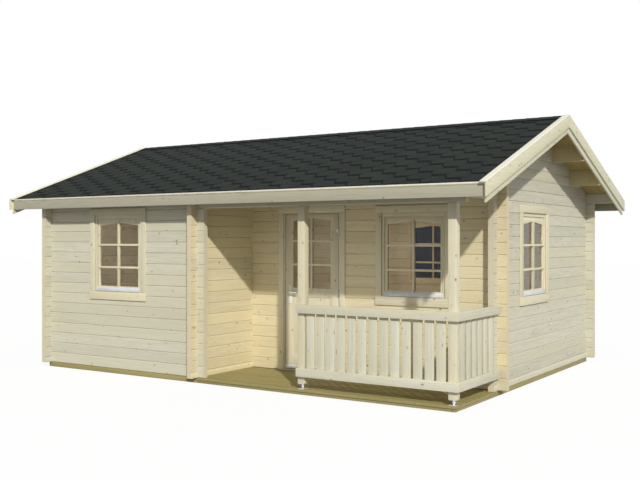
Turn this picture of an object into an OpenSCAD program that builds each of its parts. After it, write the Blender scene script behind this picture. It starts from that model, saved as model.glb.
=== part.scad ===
// Log cabin with a covered corner terrace: squared logs crossed at the corners, a low gable roof
// on purlins, a balustrade, a glazed door that swings out and four glazed windows.
// The origin is on the ground, under the middle of the cabin. The front faces -Y.

/* [Cabin] */
// Length between the outer faces of the two gable walls
cabin_len = 6020; // [5800:10:6400]
// Depth between the outer faces of the front and back walls
cabin_depth = 4472; // [4300:1:4700]
// Length of the terrace cut into the front right corner
terrace_len = 3364; // [3250:1:3450]
// Depth of the terrace, from the front wall to the set-back wall
terrace_depth = 1090; // [1000:1:1150]

/* [Logs] */
// Thickness of a wall log
log_t = 70; // [60:1:76]
// Height of one course of logs
course_h = 135; // [130:1:140]
// Bevel along each long edge of a log
log_bevel = 8; // [4:0.5:12]
// Length of a log end that stands out past a corner
stub_len = 104; // [80:1:125]
// Number of courses in the front and back walls
wall_courses = 17; // [17:1:18]
// Number of courses below the porch beam and the doorway head
door_courses = 15; // [15:1:15]

/* [Roof] */
// Slope of the roof in degrees
roof_pitch = 20; // [19:0.25:22]
// Thickness of the roof boards
board_t = 19; // [16:1:24]
// Thickness of the shingles
shingle_t = 5; // [3:0.5:8]
// Reach of the roof past the front and back walls
eave_reach = 252; // [200:1:300]
// Reach of the roof past the gable walls
verge_reach = 440; // [350:1:480]
// Width of a purlin
purlin_w = 70; // [60:1:80]
// Height of a purlin
purlin_h = 188; // [175:1:192]
// Number of bays that the purlins make between the ridge and an eave wall
purlin_bays = 3; // [3:1:3]

/* [Eaves and verges] */
// Thickness of the fascia and verge boards
trim_t = 20; // [16:1:26]
// Height of an eave fascia
fascia_h = 116; // [90:1:130]
// Height of the outer verge board, measured plumb
verge_h = 133; // [110:1:160]
// Height of the inner verge strip, measured plumb below the roof boards
verge_strip_h = 176; // [150:1:200]
// Width of the cap on the verge
verge_cap_w = 78; // [60:1:90]
// Thickness of the cap on the verge, measured plumb
verge_cap_t = 18; // [12:1:22]
// Reach of the verge tips past the eave fascias
verge_tip = 38; // [20:1:45]

/* [Base] */
// Height of the foundation beams
base_h = 65; // [58:1:80]
// Width of a foundation beam
beam_w = 54; // [46:1:58]
// Setback of the foundation beams from the wall's outer face
beam_inset = 12; // [8:1:16]
// Thickness of the inner floor
floor_t = 19; // [16:1:22]
// Width of a joist under the floor and the deck
joist_w = 45; // [38:1:60]
// Thickness of the terrace deck boards
deck_t = 28; // [22:1:34]
// Width of a terrace deck board with its gap
deck_pitch = 122; // [100:1:145]
// Gap between the terrace deck boards
deck_gap = 6; // [3:0.5:10]

/* [Balustrade] */
// Width of a square porch post
post_w = 90; // [80:1:100]
// Distance between the outer faces of the two posts
post_span = 1907; // [1800:1:2000]
// Height of the metal feet under the posts
foot_h = 60; // [45:1:80]
// Height of a rail
rail_h = 95; // [80:1:105]
// Thickness of a rail
rail_t = 40; // [30:1:45]
// Height of the underside of the bottom rails over the deck
low_rail_z = 140; // [110:1:160]
// Height of the underside of the top rails over the deck
top_rail_z = 841; // [800:1:880]
// Width of a baluster board
baluster_w = 101; // [90:1:106]
// Thickness of a baluster board
baluster_t = 20; // [15:1:24]
// Spacing of the front balusters
front_pitch = 131; // [125:1:132]
// Number of front balusters
front_count = 13; // [11:1:13]
// Spacing of the side balusters
side_pitch = 149; // [130:1:152]
// Number of side balusters
side_count = 6; // [5:1:6]

/* [Windows] */
// Width of a window opening
window_w = 824; // [760:1:840]
// Height of a window opening
window_h = 985; // [900:1:1010]
// Height of a window opening over the base
window_z = 985; // [960:1:1000]
// Width of the fixed frame around a window
frame_w = 32; // [26:1:36]
// Width of the sash bars around the glass
sash_w = 38; // [32:1:42]
// Thickness of a sash
sash_t = 40; // [34:1:44]
// Width of the fixed frame's top bar
frame_top_w = 45; // [36:1:50]
// Height of the sash above the glass, at its sides
sash_top_h = 88; // [80:1:100]
// Rise of the arched top of the glass
arch_rise = 28; // [15:1:35]
// Width of the casing boards beside a window
casing_w = 84; // [60:1:88]
// Height of the casing board below a window
casing_low_h = 104; // [80:1:110]
// Height of the casing board above a window
casing_top_h = 85; // [70:1:88]
// Thickness of the casing boards
casing_t = 18; // [14:1:22]
// Distance of the back window from the right gable, to its middle
back_window_x = 2383; // [2200:1:2600]
// Distance of the gable window's middle from the middle of the gable, towards the back
gable_window_y = 29; // [-60:1:60]

/* [Door] */
// Width of the doorway between the logs
doorway_w = 894; // [870:1:910]
// Distance of the doorway from the partition wall
doorway_side = 474; // [400:1:520]
// Width of the door frame's jambs and head
jamb_w = 45; // [40:1:50]
// Height of the threshold
threshold_h = 22; // [20:1:26]
// Clearance around the door leaf
door_gap = 7; // [7:0.5:9]
// Thickness of the door leaf
leaf_t = 44; // [38:1:46]
// Width of the stiles beside the door's glass
stile_w = 115; // [100:1:125]
// Height of the rail above the door's glass, at its sides
door_top_h = 80; // [70:1:120]
// Height of the lower part of the door, below its glass
door_low_h = 1020; // [960:1:1060]
// Width of the casing boards around the doorway
door_casing_w = 76; // [66:1:80]
// Height of the door handle over the base
handle_z = 990; // [950:1:1030]

/* [Hidden] */
$fn = 48;

spruce = "#d9c8a4";
trim_wood = "#d3c3a0";
treated = "#8a8b5c";
charcoal = "#333a36";
steel = "#b9bcc0";
clear_glass = "#6b625880";

// Seat between pieces that rest on each other, and overrun of every cut
fit_gap = 0.4;
overrun = 20;

// Outer faces of the walls, the top of the base and the lines of the inner walls
right_x = cabin_len / 2;
left_x = -right_x;
back_y = cabin_depth / 2;
front_y = -back_y;
wall_z = base_h;
porch_x = right_x - terrace_len;
partition_x = porch_x - log_t;
recess_y = front_y + terrace_depth;
right_log_x = right_x - log_t;
back_log_y = back_y - log_t;

// Corner notches take a quarter of a course from above and from below
notch_h = course_h / 4;
log_h = course_h - fit_gap;

// Underside of the roof: it meets the top inner edge of the front and back walls
roof_slope = tan(roof_pitch);
ridge_z = wall_z + wall_courses * course_h + roof_slope * (back_y - log_t);
function under_z(y) = ridge_z - roof_slope * abs(y);
function course_z(k) = wall_z + k * course_h;
gable_top = ceil((ridge_z - wall_z) / course_h);
recess_courses = ceil((under_z(recess_y + log_t) - wall_z) / course_h - fit_gap / course_h);
partition_top = ceil((under_z(recess_y + log_t + stub_len) - wall_z) / course_h);
purlin_pitch = (back_y - log_t) / purlin_bays;
purlin_ys = [for (i = [1 - purlin_bays : purlin_bays - 1]) i * purlin_pitch];
function purlin_low(y) = under_z(y) - purlin_h;
function purlin_top(y) = under_z(max(abs(y) - purlin_w / 2, 0));

// Roof covering, measured plumb, and its edges
seat = fit_gap / cos(roof_pitch);
board_rise = board_t / cos(roof_pitch);
roof_rise = board_rise + shingle_t / cos(roof_pitch);
board_x = left_x - verge_reach + trim_t + fit_gap;
board_len = cabin_len + 2 * (verge_reach - trim_t - fit_gap);
eave_lip = 3;
fascia_y = front_y - eave_reach;
eave_y = fascia_y - eave_lip;
verge_tip_y = fascia_y - verge_tip;
purlin_reach = verge_reach - 2 * trim_t - fit_gap;

// Beams under the deck and the floor
deck_joists = 5;
floor_joists = 9;

// Porch beam, posts and rails; the balusters stop short of the rails' edges
porch_z = course_z(door_courses);
deck_drop = 2;
deck_z = wall_z - deck_drop;
post_z = wall_z + foot_h;
left_post_x = right_x - post_span;
stub_y = recess_y - stub_len;
foot_plate_w = 80;
foot_plate_t = 6;
foot_rod_r = 12;
side_rail_stop = 30;
baluster_setback = 6;
baluster_low = wall_z + low_rail_z + baluster_setback;
baluster_top = wall_z + top_rail_z + rail_h - baluster_setback;

// Doorway, in the set-back wall
doorway_left = porch_x + doorway_side;
doorway_right = doorway_left + doorway_w;
doorway_mid = (doorway_left + doorway_right) / 2;

// Windows: the middle of each on its wall's outer face, and the angle that its wall is turned by
window_low = wall_z + window_z;
window_top = window_low + window_h;
front_window = [(left_x + porch_x) / 2, front_y];
recess_window = [(doorway_right + right_log_x) / 2, recess_y];
gable_window = [right_x, gable_window_y];
back_window = [right_x - back_window_x, back_y];
gable_angle = 90;
back_angle = 180;
window_sites = [
    [front_window, 0], [recess_window, 0], [gable_window, gable_angle], [back_window, back_angle]
];
sash_set = 12;
pane_t = 6;
glass_w = window_w - 2 * (frame_w + sash_w);
glass_h = window_h - frame_w - sash_w - frame_top_w - sash_top_h;
glass_z = window_low + frame_w + sash_w;
arch_steps = 12;

// Door: the leaf hangs on barrels in front of its right edge
leaf_left = doorway_left + jamb_w + door_gap;
leaf_right = doorway_right - jamb_w - door_gap;
leaf_low = wall_z + threshold_h + door_gap;
leaf_top = porch_z - jamb_w - door_gap;
leaf_w = leaf_right - leaf_left;
leaf_set = 2;
leaf_y = recess_y + leaf_set;
stop_w = 14;
stop_y = leaf_y + leaf_t + door_gap - leaf_set;
hinge_r = 8;
hinge_pin_r = 4;
hinge_play = 0.1;
hinge_h = 45;
hinge_x = doorway_right - jamb_w;
hinge_y = recess_y - hinge_r;
hinge_arm_w = 6;
hinge_leaf_w = 40;
hinge_leaf_t = 5;
hinge_margin = 230;
hinge_zs = [leaf_low + hinge_margin, (leaf_low + leaf_top) / 2, leaf_top - hinge_margin];
door_glass_w = leaf_w - 2 * stile_w;
door_glass_z = leaf_low + door_low_h;
door_glass_h = leaf_top - door_top_h - door_glass_z;
panel_depth = 9;
panel_margin = 115;
panel_low = leaf_low + panel_margin + stile_w / 2;
panel_top = door_glass_z - panel_margin;
casing_lap = 30;
handle_share = 0.68;
handle_x = leaf_left + stile_w * handle_share;
plate_w = 36;
plate_h = 230;
plate_drop_share = 0.6;
plate_t = 7;
lever_r = 9;
lever_len = 120;
lever_reach = 52;

// Box between two opposite corners
module block(low, high) translate(low) cube(high - low);

// Section in Y and Z, drawn along X
module along_x(x, len) translate([x, 0, 0]) rotate([90, 0, 90]) linear_extrude(len) children();

// Section in X and Z, drawn along Y
module along_y(y, len) translate([0, y + len, 0]) rotate([90, 0, 0]) linear_extrude(len) children();

// Section of a log with bevelled edges
module log_section()
    polygon([
        [log_bevel, 0], [log_t - log_bevel, 0], [log_t, log_bevel], [log_t, log_h - log_bevel],
        [log_t - log_bevel, log_h], [log_bevel, log_h], [0, log_h - log_bevel], [0, log_bevel]
    ]);

// All the space above the base and below the roof boards
module roof_space() {
    half = -verge_tip_y;
    along_x(left_x - verge_reach, cabin_len + 2 * verge_reach)
        polygon([
            [-half, wall_z], [half, wall_z], [half, under_z(half)], [0, ridge_z], [-half, under_z(half)]
        ]);
}

// Keeps what lies under the roof, where a course reaches it
module trimmed(reaches) {
    if (reaches)
        intersection() {
            children();
            roof_space();
        }
    else
        children();
}

// Corner notches of course k where two walls cross at (x, y)
module notches(x, y, k, below, above) {
    low = [x - fit_gap, y - fit_gap, course_z(k) - overrun];
    high = [x + log_t + fit_gap, y + log_t + fit_gap, course_z(k + 1) + overrun];
    if (below) block(low, [high.x, high.y, course_z(k) + notch_h]);
    if (above) block([low.x, low.y, course_z(k) + log_h - notch_h], high);
}

// True where course k lies between two heights
function in_course(k, low, high) = course_z(k) < high && course_z(k + 1) > low;

// Logs along X; crossings are [x, first course with a notch below]
module x_wall(x0, x1, y, courses, crossings, window = undef)
    for (k = courses)
        difference() {
            trimmed(course_z(k + 1) > min(under_z(y), under_z(y + log_t)))
                translate([0, y, course_z(k)]) along_x(x0, x1 - x0) log_section();
            for (c = crossings) notches(c[0], y, k, k >= c[1], true);
            if (window != undef && in_course(k, window_low, window_top))
                block([window.x - window_w / 2, y - overrun, window_low],
                      [window.x + window_w / 2, y + log_t + overrun, window_top]);
        }

// Logs along Y, half a course up; crossings are [y, first course, number of courses] of the other wall
module y_wall(y0, y1, x, courses, crossings, window = undef)
    for (k = courses)
        difference() {
            trimmed(k < 0 || course_z(k + 1) > min(under_z(y0), under_z(y1)))
                translate([x, 0, course_z(k)]) along_y(y0, y1 - y0) log_section();
            for (c = crossings)
                notches(x, c[0], k, k - 0.5 >= c[1] && k + 0.5 <= c[2], k + 0.5 >= c[1] && k + 0.5 < c[2]);
            for (y = purlin_ys)
                if (in_course(k, purlin_low(y) - fit_gap, ridge_z))
                    block([x - overrun, y - purlin_w / 2 - fit_gap, purlin_low(y) - fit_gap],
                          [x + log_t + overrun, y + purlin_w / 2 + fit_gap, ridge_z + overrun]);
            if (window != undef && in_course(k, window_low, window_top))
                block([x - overrun, window.y - window_w / 2, window_low],
                      [x + log_t + overrun, window.y + window_w / 2, window_top]);
        }

// Slab that follows the front slope, between two heights above the roof's underside
module slope_slab(x, len, low, high, eave_y)
    along_x(x, len)
        polygon([
            [eave_y, under_z(eave_y) + low], [-fit_gap / 2, ridge_z + low],
            [-fit_gap / 2, ridge_z + high], [eave_y, under_z(eave_y) + high]
        ]);

// Both slopes
module both_slopes() {
    children();
    mirror([0, 1, 0]) children();
}

// Places a piece on a window's wall, with its middle at X 0 and the wall's outer face at Y 0
module on_wall(middle, angle) translate([middle.x, middle.y, 0]) rotate(angle) children();

// Outline of arched glass: straight sides and a top that swells to its middle
module arched(w, h, rise, edge = 0)
    polygon(concat(
        [[-w / 2 + edge, edge], [w / 2 - edge, edge]],
        [for (i = [arch_steps : -1 : -arch_steps])
            let (u = i / arch_steps)
            [u * (w / 2 - edge), h - edge + rise * (1 + cos(u * 180)) / 2]]
    ));

// Foundation

module base_frame() color(treated) {
    low_z = deck_z - deck_t - fit_gap;
    edge = beam_inset + beam_w;
    // beams under the walls
    block([left_x + beam_inset, front_y + beam_inset, 0],
          [porch_x - beam_inset, front_y + edge, base_h - fit_gap]);
    block([left_x + beam_inset, back_y - edge, 0],
          [right_x - beam_inset, back_y - beam_inset, base_h - fit_gap]);
    for (x = [left_x + beam_inset, right_x - edge])
        block([x, (x < 0 ? front_y + edge : recess_y + edge) + fit_gap, 0],
              [x + beam_w, back_y - edge - fit_gap, base_h - fit_gap]);
    block([partition_x + beam_inset, recess_y + beam_inset, 0],
          [right_x - beam_inset, recess_y + edge, base_h - fit_gap]);
    block([porch_x - edge, front_y + edge + fit_gap, 0],
          [porch_x - beam_inset, recess_y + beam_inset - fit_gap, base_h - fit_gap]);
    // beams and joists under the deck
    block([porch_x - beam_inset + fit_gap, front_y + beam_inset, 0],
          [right_x - beam_inset, front_y + edge, low_z]);
    for (i = [1 : deck_joists]) {
        x = porch_x + (terrace_len - edge) * i / deck_joists;
        block([x, front_y + edge + fit_gap, 0], [x + beam_w, recess_y + beam_inset - fit_gap, low_z]);
    }
    // joists under the floor
    for (i = [1 : floor_joists]) {
        x = left_x + edge + (cabin_len - 2 * edge) * i / (floor_joists + 1) - joist_w / 2;
        y = x + joist_w < partition_x + beam_inset - fit_gap ? front_y + edge : recess_y + edge;
        block([x, y + fit_gap, 0], [x + joist_w, back_y - edge - fit_gap, base_h - fit_gap]);
    }
}
module floor_plates() color(spruce) {
    inner_y = recess_y + log_t + stub_len + fit_gap;
    front = front_y + log_t + fit_gap;
    behind = recess_y + log_t + fit_gap;
    room_left = left_x + log_t + fit_gap;
    room_right = right_log_x - fit_gap;
    strip_x = partition_x - stub_len;
    top_z = wall_z + floor_t;
    block([room_left, inner_y, wall_z], [room_right, back_log_y - fit_gap, top_z]);
    block([room_left, front, wall_z], [strip_x - fit_gap, inner_y - fit_gap, top_z]);
    block([porch_x + fit_gap, behind, wall_z], [room_right, inner_y - fit_gap, top_z]);
    // beside the partition, on both sides of the log ends that stand into the room
    block([strip_x, front, wall_z], [partition_x - fit_gap, recess_y - fit_gap, top_z]);
    block([strip_x, behind, wall_z], [partition_x - fit_gap, inner_y - fit_gap, top_z]);
}

module terrace_deck() color(treated) {
    run = terrace_depth - 2 * fit_gap;
    count = round(run / deck_pitch);
    pitch = (run + deck_gap) / count;
    for (i = [0 : count - 1])
        translate([porch_x + fit_gap, front_y + fit_gap + i * pitch, deck_z - deck_t])
            cube([terrace_len - fit_gap, pitch - deck_gap, deck_t]);
}

// Log walls

module front_wall_logs() color(spruce)
    x_wall(left_x - stub_len, porch_x + stub_len, front_y, [0 : door_courses - 1],
           [[left_x, 0], [partition_x, 0]], front_window);

// The top courses of the front and back walls run out to the verges and carry the roof there
module eave_logs() color(spruce) {
    crossings = [[left_x, 0], [partition_x, 0], [right_log_x, door_courses + 1]];
    x_wall(left_x - stub_len, right_x + stub_len, front_y, [door_courses : wall_courses - 2], crossings);
    x_wall(left_x - purlin_reach, right_x + purlin_reach, front_y, [wall_courses - 1], crossings);
}

module back_wall_logs() color(spruce) {
    crossings = [[left_x, 0], [right_log_x, 0]];
    x_wall(left_x - stub_len, right_x + stub_len, back_log_y, [0 : wall_courses - 2], crossings,
           back_window);
    x_wall(left_x - purlin_reach, right_x + purlin_reach, back_log_y, [wall_courses - 1], crossings);
}

module recess_left_logs() color(spruce)
    x_wall(partition_x - stub_len, doorway_left, recess_y, [0 : door_courses - 1], [[partition_x, 0]]);

module recess_right_logs() color(spruce)
    x_wall(doorway_right, right_x + stub_len, recess_y, [0 : door_courses - 1],
           [[right_log_x, 0]], recess_window);

module recess_lintel_logs() color(spruce)
    x_wall(partition_x - stub_len, right_x + stub_len, recess_y, [door_courses : recess_courses - 1],
           [[partition_x, 0], [right_log_x, 0]]);

module partition_logs() color(spruce)
    y_wall(front_y - stub_len, recess_y + log_t + stub_len, partition_x, [-0.5 : partition_top],
           [[front_y, 0, wall_courses], [recess_y, 0, recess_courses]]);

module left_gable_logs() color(spruce)
    y_wall(front_y - stub_len, back_y + stub_len, left_x, [-0.5 : gable_top],
           [[front_y, 0, wall_courses], [back_log_y, 0, wall_courses]]);

module right_gable_logs() color(spruce) {
    y_wall(stub_y, back_y + stub_len, right_log_x, [-0.5 : door_courses - 0.5],
           [[recess_y, 0, recess_courses], [back_log_y, 0, wall_courses]], gable_window);
    y_wall(front_y - stub_len, back_y + stub_len, right_log_x, [door_courses + 0.5 : gable_top],
           [[front_y, door_courses, wall_courses], [recess_y, 0, recess_courses],
            [back_log_y, 0, wall_courses]]);
}

// Roof

module roof_purlins() color(trim_wood) {
    for (y = purlin_ys)
        intersection() {
            block([left_x - purlin_reach, y - purlin_w / 2, purlin_low(y)],
                  [right_x + purlin_reach, y + purlin_w / 2, purlin_top(y)]);
            roof_space();
        }
}

module front_slope_boards() slope_slab(board_x, board_len, seat, board_rise, eave_y);
module front_slope_shingles()
    slope_slab(board_x, board_len, board_rise + seat, roof_rise, eave_y);

module front_roof_boards() color(trim_wood) front_slope_boards();
module back_roof_boards() color(trim_wood) mirror([0, 1, 0]) front_slope_boards();
module front_shingles() color(charcoal) front_slope_shingles();
module back_shingles() color(charcoal) mirror([0, 1, 0]) front_slope_shingles();

module eave_fascias() color(trim_wood)
    both_slopes()
        intersection() {
            block([board_x + trim_t, fascia_y, under_z(fascia_y) - fascia_h],
                  [board_x + board_len - trim_t, fascia_y + trim_t, ridge_z]);
            roof_space();
        }

// One gable end's outer board and the strip behind it, on the side given by its outer face
module verge(outer_x, inward) {
    board = inward > 0 ? outer_x : outer_x - trim_t;
    strip = inward > 0 ? outer_x + trim_t : outer_x - 2 * trim_t;
    both_slopes() {
        slope_slab(board, trim_t, roof_rise - verge_h, roof_rise - fit_gap, verge_tip_y);
        slope_slab(strip, trim_t, -verge_strip_h, -fit_gap, fascia_y);
    }
}

module left_verge_boards() color(trim_wood) verge(left_x - verge_reach, 1);
module right_verge_boards() color(trim_wood) verge(right_x + verge_reach, -1);

module verge_caps() color(trim_wood)
    for (x = [left_x - verge_reach, right_x + verge_reach - verge_cap_w])
        both_slopes() slope_slab(x, verge_cap_w, roof_rise + fit_gap, roof_rise + verge_cap_t, verge_tip_y);

// Terrace

module porch_posts() color(spruce)
    for (x = [left_post_x, right_x - post_w])
        block([x, front_y, post_z], [x + post_w, front_y + post_w, porch_z - fit_gap]);

module post_feet() color(steel)
    for (x = [left_post_x, right_x - post_w])
        translate([x + post_w / 2, front_y + post_w / 2, deck_z]) {
            for (z = [0, post_z - deck_z - foot_plate_t])
                translate([-foot_plate_w / 2, -foot_plate_w / 2, z])
                    cube([foot_plate_w, foot_plate_w, foot_plate_t]);
            cylinder(r = foot_rod_r, h = post_z - deck_z - foot_plate_t / 2);
        }

module front_rails() color(trim_wood)
    for (z = [low_rail_z, top_rail_z])
        block([left_post_x, front_y - rail_t, wall_z + z],
              [right_x + rail_t, front_y, wall_z + z + rail_h]);

module side_rails() color(trim_wood)
    for (z = [low_rail_z, top_rail_z])
        block([right_x, front_y, wall_z + z],
              [right_x + rail_t, recess_y - side_rail_stop, wall_z + z + rail_h]);

module front_balusters() color(trim_wood) {
    first = (left_post_x + right_x - baluster_w - (front_count - 1) * front_pitch) / 2;
    for (i = [0 : front_count - 1])
        translate([first + i * front_pitch, front_y, baluster_low])
            cube([baluster_w, baluster_t, baluster_top - baluster_low]);
}

module side_balusters() color(trim_wood) {
    first = (front_y + post_w + stub_y - baluster_w - (side_count - 1) * side_pitch) / 2;
    for (i = [0 : side_count - 1])
        translate([right_x - baluster_t, first + i * side_pitch, baluster_low])
            cube([baluster_t, baluster_w, baluster_top - baluster_low]);
}

// Door

// Jamb section with the stop behind the leaf, its inner face at X 0
module jamb_section()
    polygon([
        [-jamb_w + fit_gap, recess_y], [0, recess_y], [0, stop_y], [stop_w, stop_y],
        [stop_w, recess_y + log_t], [-jamb_w + fit_gap, recess_y + log_t]
    ]);

module door_frame() color(trim_wood) {
    head_z = porch_z - jamb_w;
    jamb_h = head_z - wall_z - threshold_h - 2 * fit_gap;
    translate([doorway_left + jamb_w, 0, wall_z + threshold_h + fit_gap])
        linear_extrude(jamb_h) jamb_section();
    translate([doorway_right - jamb_w, 0, wall_z + threshold_h + fit_gap])
        mirror([1, 0, 0]) linear_extrude(jamb_h) jamb_section();
    block([doorway_left + fit_gap, recess_y, head_z],
          [doorway_right - fit_gap, recess_y + log_t, porch_z - fit_gap]);
    block([doorway_left + jamb_w + stop_w + fit_gap, stop_y, head_z - stop_w],
          [doorway_right - jamb_w - stop_w - fit_gap, recess_y + log_t, head_z]);
    block([doorway_left + fit_gap, recess_y, wall_z],
          [doorway_right - fit_gap, recess_y + log_t, wall_z + threshold_h]);
}

module door_casing() color(trim_wood) {
    inner = doorway_w / 2 - casing_lap;
    front = recess_y - casing_t - fit_gap;
    head_z = porch_z - casing_lap;
    for (side = [-1, 1])
        translate([doorway_mid + side * (inner + door_casing_w / 2) - door_casing_w / 2, front, wall_z])
            cube([door_casing_w, casing_t, head_z - wall_z - fit_gap]);
    translate([doorway_mid - inner - door_casing_w, front, head_z])
        cube([2 * (inner + door_casing_w), casing_t, door_casing_w]);
}

module frame_hinges() color(steel)
    for (z = hinge_zs)
        translate([hinge_x, hinge_y, z - hinge_h]) {
            cylinder(r = hinge_r, h = hinge_h - fit_gap);
            cylinder(r = hinge_pin_r, h = 2 * hinge_h - hinge_r);
            block([0, 0, 0], [hinge_arm_w, hinge_r, hinge_h - fit_gap]);
        }

module leaf_hinges() color(steel)
    for (z = hinge_zs)
        difference() {
            translate([hinge_x, hinge_y, z]) {
                cylinder(r = hinge_r, h = hinge_h);
                block([-hinge_leaf_w, hinge_r + leaf_set - hinge_leaf_t, 0],
                      [0, hinge_r + leaf_set, hinge_h]);
            }
            translate([hinge_x, hinge_y, z - overrun])
                cylinder(r = hinge_pin_r + hinge_play, h = 2 * hinge_h);
        }

module door_leaf() color(trim_wood)
    difference() {
        block([leaf_left, leaf_y, leaf_low], [leaf_right, leaf_y + leaf_t, leaf_top]);
        translate([(leaf_left + leaf_right) / 2, 0, door_glass_z])
            along_y(leaf_y - overrun, leaf_t + 2 * overrun) arched(door_glass_w, door_glass_h, arch_rise);
        for (y = [leaf_y + panel_depth - overrun, leaf_y + leaf_t - panel_depth])
            block([leaf_left + stile_w, y, panel_low], [leaf_right - stile_w, y + overrun, panel_top]);
    }

module door_glass() color(clear_glass)
    translate([(leaf_left + leaf_right) / 2, 0, door_glass_z])
        along_y(leaf_y + (leaf_t - pane_t) / 2, pane_t)
            arched(door_glass_w, door_glass_h, arch_rise, fit_gap);

module door_handle() color(steel) {
    for (side = [0, 1])
        translate([handle_x, leaf_y + side * leaf_t, wall_z + handle_z])
            mirror([0, side, 0]) {
                block([-plate_w / 2, -plate_t, -plate_h * plate_drop_share],
                      [plate_w / 2, 0, plate_h * (1 - plate_drop_share)]);
                translate([0, -plate_t / 2, 0]) rotate([90, 0, 0])
                    cylinder(r = lever_r, h = lever_reach - plate_t / 2);
                translate([0, -lever_reach, 0]) sphere(r = lever_r);
                translate([0, -lever_reach, 0]) rotate([0, 90, 0]) cylinder(r = lever_r, h = lever_len);
            }
}

// Windows

module window_frame(middle, angle) color(trim_wood)
    on_wall(middle, angle)
        difference() {
            block([-window_w / 2 + fit_gap, 0, window_low + fit_gap],
                  [window_w / 2 - fit_gap, log_t, window_top - fit_gap]);
            block([-window_w / 2 + frame_w, -overrun, window_low + frame_w],
                  [window_w / 2 - frame_w, log_t + overrun, window_top - frame_top_w]);
        }

module window_sash(middle, angle) color(trim_wood)
    on_wall(middle, angle)
        difference() {
            block([-window_w / 2 + frame_w + fit_gap, sash_set, window_low + frame_w + fit_gap],
                  [window_w / 2 - frame_w - fit_gap, sash_set + sash_t, window_top - frame_top_w - fit_gap]);
            translate([0, 0, glass_z]) along_y(-overrun, log_t + 2 * overrun)
                arched(glass_w, glass_h, arch_rise);
        }

module front_window_frame() window_frame(front_window, 0);
module recess_window_frame() window_frame(recess_window, 0);
module gable_window_frame() window_frame(gable_window, gable_angle);
module back_window_frame() window_frame(back_window, back_angle);
module front_window_sash() window_sash(front_window, 0);
module recess_window_sash() window_sash(recess_window, 0);
module gable_window_sash() window_sash(gable_window, gable_angle);
module back_window_sash() window_sash(back_window, back_angle);

module window_panes() color(clear_glass)
    for (site = window_sites)
        on_wall(site[0], site[1]) translate([0, 0, glass_z])
            along_y(sash_set + (sash_t - pane_t) / 2, pane_t) arched(glass_w, glass_h, arch_rise, fit_gap);

module window_casings() color(trim_wood)
    for (site = window_sites)
        on_wall(site[0], site[1]) translate([0, -fit_gap - casing_t, 0]) {
            for (side = [-1, 1])
                translate([side * (window_w + casing_w) / 2 - casing_w / 2, 0, window_low + fit_gap])
                    cube([casing_w, casing_t, window_h - 2 * fit_gap]);
            translate([-window_w / 2 - casing_w, 0, window_low - casing_low_h])
                cube([window_w + 2 * casing_w, casing_t, casing_low_h]);
            translate([-window_w / 2 - casing_w, 0, window_top])
                cube([window_w + 2 * casing_w, casing_t, casing_top_h]);
        }

base_frame();
floor_plates();
terrace_deck();
front_wall_logs();
eave_logs();
partition_logs();
recess_left_logs();
recess_right_logs();
recess_lintel_logs();
right_gable_logs();
left_gable_logs();
back_wall_logs();
roof_purlins();
front_roof_boards();
back_roof_boards();
front_shingles();
back_shingles();
eave_fascias();
left_verge_boards();
right_verge_boards();
verge_caps();
porch_posts();
post_feet();
front_rails();
side_rails();
front_balusters();
side_balusters();
door_frame();
door_casing();
frame_hinges();
door_leaf();
door_glass();
door_handle();
leaf_hinges();
front_window_frame();
recess_window_frame();
gable_window_frame();
back_window_frame();
front_window_sash();
recess_window_sash();
gable_window_sash();
back_window_sash();
window_panes();
window_casings();
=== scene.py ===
import math
import random

import bpy
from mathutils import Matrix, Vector


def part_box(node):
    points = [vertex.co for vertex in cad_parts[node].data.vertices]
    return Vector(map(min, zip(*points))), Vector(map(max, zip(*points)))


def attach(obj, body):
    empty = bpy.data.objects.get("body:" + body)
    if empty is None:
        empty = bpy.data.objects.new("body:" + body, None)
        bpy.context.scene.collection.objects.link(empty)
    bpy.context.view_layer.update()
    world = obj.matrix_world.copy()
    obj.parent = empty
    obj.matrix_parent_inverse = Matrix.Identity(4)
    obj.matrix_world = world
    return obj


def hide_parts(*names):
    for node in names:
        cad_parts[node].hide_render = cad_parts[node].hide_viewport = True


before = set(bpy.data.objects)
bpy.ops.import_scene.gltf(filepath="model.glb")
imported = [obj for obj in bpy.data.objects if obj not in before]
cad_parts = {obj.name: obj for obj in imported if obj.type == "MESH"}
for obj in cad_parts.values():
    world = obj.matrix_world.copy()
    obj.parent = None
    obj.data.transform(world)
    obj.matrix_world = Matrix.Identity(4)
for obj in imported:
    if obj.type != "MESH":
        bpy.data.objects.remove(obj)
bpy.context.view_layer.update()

# Log cabin in spruce: planed logs and boards, hexagonal shingles, glazing bars and a treated deck.
# All sizes are in metres, and the cabin's front faces -Y.

AXES = "XYZ"

# Tolerances of merged points, flat and sharp edges, faces that look along an axis, and places on a line
MERGE_GAP = 0.00005
FLAT_ANGLE = math.radians(1)
EDGE_ANGLE = math.radians(35)
FACING = 0.9
NEAR = 0.001

# First seed of the random tones of each group of pieces
SEEDS = {"windows": 50, "planks": 60, "shingles": 70, "ridge": 72, "deck": 80, "bars": 90, "door": 100}


# Modelling helpers

def begin():
    """Leaves edit mode and clears the selection."""
    active = bpy.context.view_layer.objects.active
    if active and active.mode != "OBJECT":
        bpy.ops.object.mode_set(mode="OBJECT")
    bpy.ops.object.select_all(action="DESELECT")


def take(piece):
    """Makes a piece the only one selected."""
    begin()
    piece.select_set(True)
    bpy.context.view_layer.objects.active = piece


def edit_all(piece):
    """Opens a piece in edit mode with everything selected."""
    take(piece)
    bpy.ops.object.mode_set(mode="EDIT")
    bpy.ops.mesh.select_mode(type="VERT")
    bpy.ops.mesh.select_all(action="SELECT")


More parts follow.
